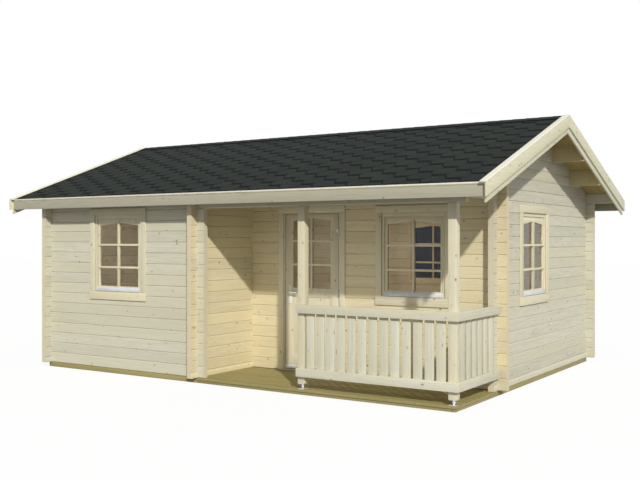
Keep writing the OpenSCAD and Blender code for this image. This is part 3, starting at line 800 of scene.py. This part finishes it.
def sill_strip(name, width, top_z):
    """A grey weather strip with a sloping top, in front of the sash's foot and the frame below it."""
    joint_z = top_z + SILL_TOP - SASH_W
    strip = block(name, (-width / 2, -SILL_REACH, joint_z), (width / 2, SASH_SET - BAR_PLAY, top_z))
    edit_vertices(strip, lambda v: v.y < 0 and v.z > (joint_z + top_z) / 2)
    bpy.ops.transform.translate(value=(0, SILL_REACH, 0))
    apron = block(name, (-width / 2, -SILL_REACH, top_z - SILL_H), (width / 2, -BAR_PLAY, joint_z))
    return round_edges(joined([strip, apron], name), SILL_EDGE)


def dress_windows():
    for seed, window in enumerate(WINDOWS, SEEDS["bars"]):
        low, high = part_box(window + "_window_sash")
        centre = (low + high) / 2
        turn = WINDOW_TURN[window]
        across, thick = high.x - low.x, high.y - low.y
        if window == "gable":
            across, thick = thick, across
        glass_low = low.z + SASH_W
        glass_top = high.z - SASH_TOP_H + ARCH_RISE
        outward = Vector((math.sin(turn), -math.cos(turn), 0))
        face = Vector((centre.x, centre.y, 0)) + outward * thick / 2
        wall = face + outward * SASH_SET
        bars = glazing_bars(window + "_window_bars", across - 2 * SASH_W, glass_low, glass_top,
                            BAR_HEIGHTS, 0)
        put(bars, face, (0, 0, turn))
        finish_pieces(bars, joinery_wood, seed)
        hand_over(bars, "cabin", "joinery_wood")
        strip = sill_strip(window + "_window_strip", across - 2 * BAR_PLAY, glass_low - SILL_TOP)
        put(strip, wall, (0, 0, turn))
        hand_over(coat(strip, grey_sheet), "cabin", "metal")
    panes = coat(planed("window_panes"), clear_glass, painted_sky_reflection_glass)
    back_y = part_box("back_window_sash")[0].y
    # The back panes take the painted sky reflection
    for face in panes.data.polygons:
        face.material_index = 1 if face.center.y > back_y else 0
    hand_over(panes, "cabin", "glass", "window_panes")


# Door
STILE_W = 0.115
DOOR_TOP_H = 0.080
DOOR_LOW_H = 1.020
PANEL_MARGIN = 0.115
PANEL_DEPTH = 0.009
PANEL_RAISE = 0.007
PANEL_FIELD = 0.045
PANEL_PLAY = 0.002
PANEL_LIP = 0.002
LEAF_EDGE = 0.003
MOULD_W = 0.014
DRIP_REACH = 0.018
DRIP_H = 0.042
DRIP_START = 0.004
DRIP_END = 0.035
DRIP_RISE = 0.004
DRIP_SLOPE = 0.6 * DRIP_REACH
DRIP_EDGE = 0.003


def raised_panel(name, low, high, face_y, outward):
    """A raised and fielded panel that fills one recess of the door."""
    deep_y = face_y - outward * PANEL_DEPTH
    flat_y = deep_y + outward * PANEL_LIP
    panel = block(name, (low.x, min(deep_y, flat_y), low.z), (high.x, max(deep_y, flat_y), high.z))
    edit_faces(panel, lambda centre, normal: normal.y * outward > FACING)
    bpy.ops.mesh.inset(thickness=MOULD_W)
    bpy.ops.mesh.extrude_region_move(TRANSFORM_OT_translate={"value": (0, 0, 0)})
    bpy.ops.mesh.inset(thickness=PANEL_FIELD)
    bpy.ops.transform.translate(value=(0, outward * PANEL_RAISE, 0))
    edit_all(panel)
    bpy.ops.mesh.remove_doubles(threshold=MERGE_GAP)
    begin()
    return panel


def door():
    leaf = planed("door_leaf", LEAF_EDGE)
    finish_pieces(leaf, door_wood, SEEDS["door"], "Z")
    hand_over(leaf, "door", "joinery_wood", "door_leaf")
    low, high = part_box("door_leaf")
    centre = (low + high) / 2
    bars = glazing_bars("door_bars", high.x - low.x - 2 * STILE_W, low.z + DOOR_LOW_H,
                        high.z - DOOR_TOP_H + ARCH_RISE, DOOR_BAR_HEIGHTS, low.y)
    put(bars, (centre.x, 0, 0))
    finish_pieces(bars, door_wood, SEEDS["door"] + 1)
    hand_over(bars, "door", "joinery_wood")
    inset = STILE_W + PANEL_PLAY
    panel_low = Vector((low.x + inset, 0, low.z + PANEL_MARGIN + STILE_W / 2 + PANEL_PLAY))
    panel_high = Vector((high.x - inset, 0, low.z + DOOR_LOW_H - PANEL_MARGIN - PANEL_PLAY))
    panels = [raised_panel("door_panels", panel_low, panel_high, low.y, -1),
              raised_panel("door_panels", panel_low, panel_high, high.y, 1)]
    panel = finish_pieces(joined(panels, "door_panels"), door_wood, SEEDS["door"] + 2)
    hand_over(panel, "door", "joinery_wood")
    drip = block("door_drip_strip", (low.x + DRIP_START, low.y - DRIP_REACH, low.z + DRIP_RISE),
                 (high.x - DRIP_END, low.y, low.z + DRIP_RISE + DRIP_H))
    edit_vertices(drip, lambda v: v.y < low.y - DRIP_REACH / 2 and v.z > low.z + DRIP_H / 2)
    bpy.ops.transform.translate(value=(0, DRIP_SLOPE, 0))
    begin()
    round_edges(drip, DRIP_EDGE)
    hand_over(coat(drip, grey_sheet), "door", "metal")


# Screws through the rails into the balusters, and nuts on the post feet
SCREW_R = 0.005
SCREW_H = 0.003
SCREW_RISE = 0.048
RAIL_H = 0.095
BALUSTER_W = 0.101
BALUSTERS = {"front": 13, "side": 6}
NUT_R = 0.021
NUT_H = 0.014
NUT_EDGE = 0.0015


def screw_row(name, first, step, count, turn, height):
    """Domed screw heads along a rail's face, in two rows."""
    begin()
    bpy.ops.mesh.primitive_uv_sphere_add(radius=SCREW_R, segments=10, ring_count=6)
    head = named(bpy.context.object, name)
    head.scale = (1, 1, SCREW_H / SCREW_R)
    bpy.ops.object.transform_apply(location=True, rotation=True, scale=True)
    cut_away(head, (0, 0, 0), (0, 0, -1))
    put(head, first, turn)
    repeat(head, step, count)
    repeat(head, (0, 0, height), 2)
    return hand_over(coat(head, yellow_zinc), "cabin", "metal")


def fixings():
    front_low, front_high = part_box("front_rails")
    rail_step = front_high.z - front_low.z - RAIL_H
    for side, axis, turn in (("front", 0, (math.pi / 2, 0, 0)), ("side", 1, (0, math.pi / 2, 0))):
        low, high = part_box(side + "_balusters")
        count = BALUSTERS[side]
        step = Vector((0, 0, 0))
        step[axis] = (high[axis] - low[axis] - BALUSTER_W) / (count - 1)
        rails_low, rails_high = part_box(side + "_rails")
        first = Vector((rails_high.x, rails_low.y, rails_low.z + SCREW_RISE))
        first[axis] = low[axis] + BALUSTER_W / 2
        screw_row(side + "_rail_screws", first, step, count, turn, rail_step)
    foot_low, foot_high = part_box("post_feet")
    begin()
    bpy.ops.mesh.primitive_cylinder_add(vertices=6, radius=NUT_R, depth=NUT_H)
    nut = named(bpy.context.object, "foot_nuts")
    bpy.ops.object.transform_apply(location=True, rotation=True, scale=True)
    round_edges(nut, NUT_EDGE)
    half = (foot_high.y - foot_low.y) / 2
    put(nut, (foot_low.x + half, foot_low.y + half, (foot_low.z + foot_high.z) / 2))
    repeat(nut, (foot_high.x - foot_low.x - 2 * half, 0, 0), 2)
    hand_over(coat(nut, steel), "cabin", "metal")


def metal_and_glass_nodes():
    for node, finish in (("post_feet", steel), ("door_handle", satin), ("frame_hinges", zinc),
                         ("leaf_hinges", zinc), ("door_glass", clear_glass)):
        coat(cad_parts[node], finish)


# Stage: white floor, soft daylight and the camera
CAMERA_PLACE = (6.652, -10.325, 1.714)
CAMERA_TURN = math.radians(32.99)
CAMERA_LENS = 49.78
CAMERA_SENSOR = 36.0
FLOOR_SIZE = 120.0
SUN_WAY = Vector((-0.975, 1.0, -0.82))
SUN_LEVEL = 3.2
SUN_SPREAD = math.radians(1.7)
SUN_COLOUR = (1.0, 0.985, 0.95)
SKY_LEVEL = 0.45
SEEN_SHARE = 0.9
FLOOR_TONE = 0.36
FLOOR_SEEN = 0.95
ROOM_LIGHT_PER_M2 = 5.1087
ROOM_COLOUR = (1.0, 0.96, 0.9)
ROOM_LAMPS = (("main_room_light", (-0.1, 0.55, 2.25), (3.2, 2.0)),
              ("front_room_light", (-1.7, -1.5, 2.25), (1.8, 0.8)))
PORCH_LIGHT = 4.4
PORCH_SIZE = (3.0, 1.0)
PORCH_PLACE = (1.33, -2.1, 1.10)
PORCH_COLOUR = (0.95, 0.94, 0.91)


def seen_rays(tree):
    """One for rays that show the background: straight from the camera, mirrored or through glass."""
    path = add(tree, "LightPath")
    seen = math_node(tree, "MAXIMUM", path.outputs["Is Camera Ray"], path.outputs["Is Glossy Ray"])
    return math_node(tree, "MAXIMUM", seen, path.outputs["Is Transmission Ray"])


def lamp(kind, name, place, turn, energy, colour, size=None):
    """A lamp, which is a rectangle where it has a size."""
    begin()
    bpy.ops.object.light_add(type=kind, location=place, rotation=turn)
    made = bpy.context.object
    made.name = name
    made.data.energy = energy
    made.data.color = colour
    if size:
        made.data.shape = "RECTANGLE"
        made.data.size, made.data.size_y = size
    return made


def stage():
    begin()
    bpy.ops.mesh.primitive_plane_add(size=FLOOR_SIZE)
    floor = named(bpy.context.object, "pale_floor")
    finish = bpy.data.materials.new("pale_floor")
    finish.use_nodes = True
    tree = finish.node_tree
    tree.nodes.clear()
    seen = seen_rays(tree)
    level = ramp(tree, seen, 0.0, 1.0, FLOOR_TONE, FLOOR_SEEN)
    matt = add(tree, "BsdfDiffuse", {"Color": grey(tree, level)})
    glow = add(tree, "Emission", {"Color": (1, 1, 1, 1), "Strength": 1.0})
    share = math_node(tree, "MULTIPLY", seen, SEEN_SHARE)
    mixed = add(tree, "MixShader", {0: share, 1: matt.outputs[0], 2: glow.outputs[0]})
    output = tree.nodes.new("ShaderNodeOutputMaterial")
    tree.links.new(mixed.outputs[0], output.inputs["Surface"])
    floor.data.materials.append(finish)

    world = bpy.data.worlds.new("white_sky")
    bpy.context.scene.world = world
    world.use_nodes = True
    tree = world.node_tree
    tree.nodes.clear()
    level = ramp(tree, seen_rays(tree), 0.0, 1.0, SKY_LEVEL, 1.0)
    sky = add(tree, "Background", {"Color": (1, 1, 1, 1), "Strength": level})
    output = tree.nodes.new("ShaderNodeOutputWorld")
    tree.links.new(sky.outputs[0], output.inputs["Surface"])

    sun_turn = SUN_WAY.to_track_quat("-Z", "Y").to_euler()
    sun = lamp("SUN", "daylight", (0, 0, 0), sun_turn, SUN_LEVEL, SUN_COLOUR)
    sun.data.angle = SUN_SPREAD
    for name, place, size in ROOM_LAMPS:
        lamp("AREA", name, place, (0, 0, 0), ROOM_LIGHT_PER_M2 * size[0] * size[1], ROOM_COLOUR, size)
    fill = lamp("AREA", "porch_fill", PORCH_PLACE, (math.pi / 2, 0, 0), PORCH_LIGHT, PORCH_COLOUR,
                PORCH_SIZE)
    fill.visible_camera = fill.visible_glossy = fill.visible_transmission = False

    begin()
    bpy.ops.object.camera_add(location=CAMERA_PLACE, rotation=(math.pi / 2, 0, CAMERA_TURN))
    camera = bpy.context.object
    camera.name = "photo_camera"
    camera.data.lens = CAMERA_LENS
    camera.data.sensor_width = CAMERA_SENSOR
    camera.data.clip_end = FLOOR_SIZE * 2
    scene = bpy.context.scene
    scene.camera = camera
    scene.view_settings.view_transform = "Standard"


dress_timbers()
roof_boards()
shingles()
deck()
dress_windows()
door()
fixings()
metal_and_glass_nodes()
stage()
